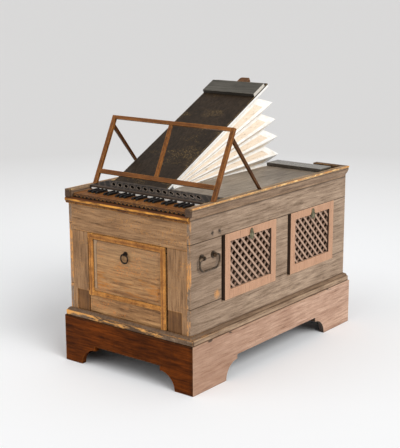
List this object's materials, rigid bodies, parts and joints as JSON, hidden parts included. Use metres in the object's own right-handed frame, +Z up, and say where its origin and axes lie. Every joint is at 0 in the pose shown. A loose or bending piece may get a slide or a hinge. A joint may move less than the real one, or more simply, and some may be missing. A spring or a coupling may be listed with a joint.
{
  "type": "chest pipe organ",
  "caption": "Low wooden chest organ on an arched plinth, with a short keyboard, a leaning music stand, lattice grilles and paired wedge bellows, one raised.",
  "frame": {"origin": "on the floor under the middle of the plinth", "axes": "+Z up, +Y along the chest away from the keyboard, +X to the player's right"},
  "size_m": [0.736, 1.257, 1.2031],
  "materials": {
    "plinth_wood": "waxed pine, reddish brown, worn edges",
    "worn_wood": "bare worn edges, orange yellow",
    "block_wood": "dark oiled wood",
    "front_wood": "weathered, scratched, brown",
    "grille_wood": "planed pine, pinkish brown",
    "cap_wood": "worn moulding, rubbed edges",
    "inner_wood": "dark unfinished pine",
    "fold_leather": "white alum-tawed leather over pale ribs",
    "left_board_wood": "very dark brown, scuffed",
    "right_board_wood": "grey brown, dull sheen",
    "batten_wood": "grey paint, rubbed",
    "tongue_wood": "brown, handled",
    "stand_wood": "warm brown, waxed",
    "key_wood": "boxwood, worn smooth",
    "sharp_wood": "blackened pear, satin",
    "felt": "white felt",
    "fret_wood": "grey brown, carved",
    "chest_wood": "weathered grey-brown pine",
    "iron": "forged iron, dark brown patina",
    "pull_brass": "tarnished, greenish"
  },
  "bodies": {
    "chest": {"plinth_front": "plinth_wood", "plinth_back": "plinth_wood", "plinth_left": "plinth_wood", "plinth_right": "plinth_wood", "chest_floor": "chest_wood", "base_moulding": "worn_wood", "front_top_rail": "front_wood", "front_stiles": "front_wood", "front_foot_blocks": "block_wood", "front_door": "front_wood", "front_door_moulding": "worn_wood", "front_nosing": "worn_wood", "right_top_rail": "chest_wood", "right_bottom_rail": "chest_wood", "right_stiles": "chest_wood", "right_front_grille": "grille_wood", "right_rear_grille": "grille_wood", "right_cap": "cap_wood", "left_top_rail": "chest_wood", "left_bottom_rail": "chest_wood", "left_stiles": "chest_wood", "left_front_grille": "grille_wood", "left_rear_grille": "grille_wood", "left_cap": "cap_wood", "back_top_rail": "chest_wood", "back_bottom_rail": "chest_wood", "back_stiles": "chest_wood", "back_panel": "chest_wood", "back_cap_returns": "cap_wood", "bellows_deck": "inner_wood", "key_bed": "inner_wood", "natural_keys": "key_wood", "sharp_keys": "sharp_wood", "key_felt": "felt", "fret_board": "fret_wood", "left_bellows_base": "inner_wood", "left_bellows_folds": "fold_leather", "right_bellows_base": "inner_wood", "right_bellows_folds": "fold_leather", "stand_posts": "stand_wood", "stand_rails": "stand_wood", "stand_bar": "stand_wood", "stand_struts": "stand_wood", "right_handle_eyes": "iron", "left_handle_eyes": "iron", "door_ring_plate": "iron", "grille_pulls": "pull_brass"},
    "left_bellows": {"left_bellows_board": "left_board_wood", "left_bellows_batten": "batten_wood", "left_bellows_tongue": "tongue_wood"},
    "right_bellows": {"right_bellows_board": "right_board_wood", "right_bellows_batten": "batten_wood", "right_bellows_tongue": "tongue_wood"},
    "right_bail": {"right_handle_bail": "iron"},
    "left_bail": {"left_handle_bail": "iron"},
    "ring": {"door_ring": "iron"}
  },
  "joints": [
    {"name": "left_bellows_hinge", "type": "hinge", "parent": "chest", "child": "left_bellows", "pos_m": [-0.1605, -0.345, 0.767], "axis": [-1, 0, 0], "range_deg": [0, 27.2], "deforming": ["left_bellows_folds"]},
    {"name": "right_bellows_hinge", "type": "hinge", "parent": "chest", "child": "right_bellows", "pos_m": [0.1605, -0.345, 0.767], "axis": [-1, 0, 0], "range_deg": [-27.2, 0], "deforming": ["right_bellows_folds"]},
    {"name": "right_bail_hinge", "type": "hinge", "parent": "chest", "child": "right_bail", "pos_m": [0.3555, -0.496, 0.573], "axis": [0, -1, 0], "range_deg": [0, 95]},
    {"name": "left_bail_hinge", "type": "hinge", "parent": "chest", "child": "left_bail", "pos_m": [-0.3555, -0.496, 0.573], "axis": [0, 1, 0], "range_deg": [0, 95]},
    {"name": "ring_hinge", "type": "hinge", "parent": "chest", "child": "ring", "pos_m": [-0.008, -0.6215, 0.549], "axis": [-1, 0, 0], "range_deg": [0, 80]}
  ]
}
